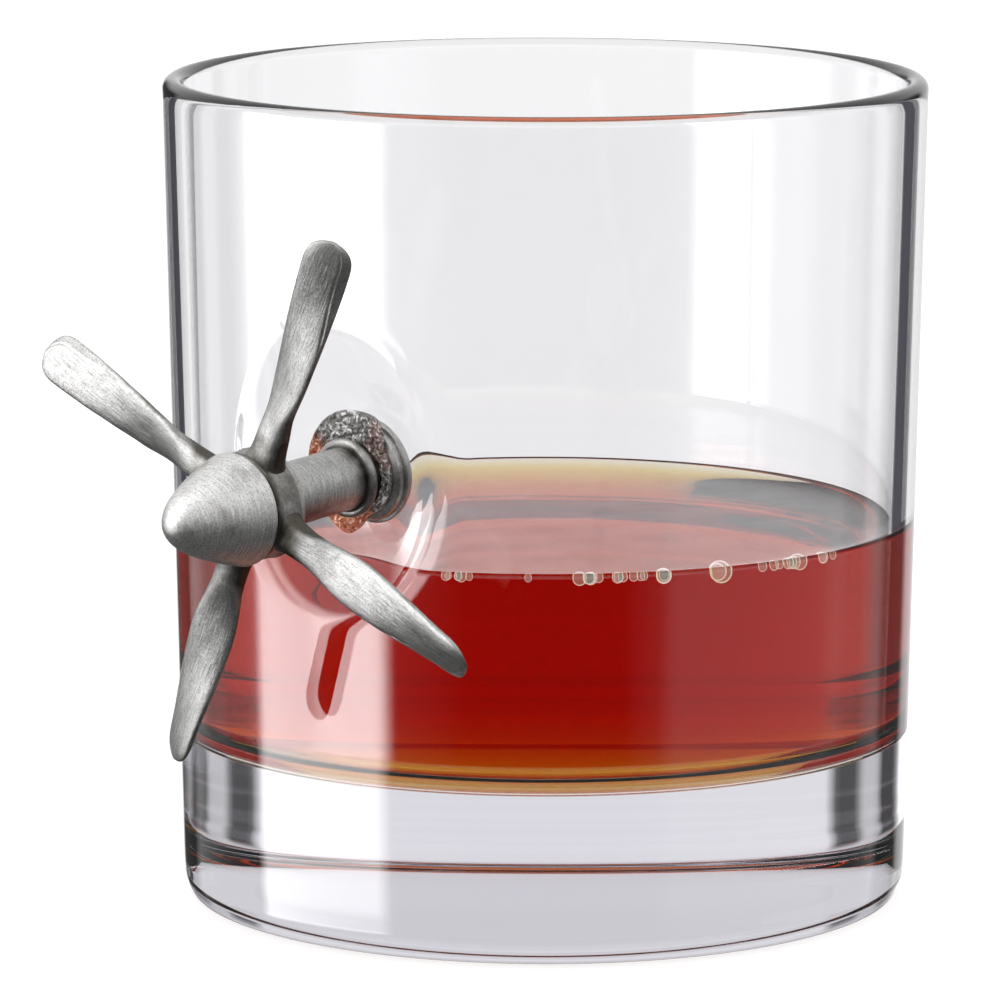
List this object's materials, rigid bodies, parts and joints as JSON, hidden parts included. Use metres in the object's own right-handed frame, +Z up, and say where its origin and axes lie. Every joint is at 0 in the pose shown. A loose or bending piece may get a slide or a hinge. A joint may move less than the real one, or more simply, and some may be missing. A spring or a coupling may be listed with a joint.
{
  "type": "whisky tumbler",
  "caption": "Heavy-based clear tumbler holding a red drink, with a small pewter aircraft propeller that spins on a shaft let into a dimple in its wall.",
  "frame": {"origin": "centre of the tumbler's flat base, on the surface it stands on", "axes": "+Z up along the tumbler's axis; the propeller is on the -X -Y side and faces outwards"},
  "size_m": [0.0935, 0.1056, 0.089],
  "materials": {
    "clear_glass": "polished",
    "drink": "polished",
    "resin": "satin",
    "pewter": "satin",
    "dark_pewter": "satin"
  },
  "bodies": {
    "glass": {"tumbler": "clear_glass", "drink": "drink", "bonding_pad": "resin", "anchor_plug": "pewter", "shaft_collar": "pewter", "shaft_sleeve": "pewter", "axle_pin": "dark_pewter", "rear_washer": "dark_pewter"},
    "propeller": {"hub": "pewter", "blade_1": "pewter", "blade_2": "pewter", "blade_3": "pewter", "blade_4": "pewter", "front_washer": "dark_pewter", "spinner": "pewter"}
  },
  "joints": [
    {"name": "propeller_spin", "type": "hinge", "parent": "glass", "child": "propeller", "pos_m": [-0.02976, -0.04557, 0.04992], "axis": [-0.6608, -0.7468, -0.075], "continuous": true}
  ]
}
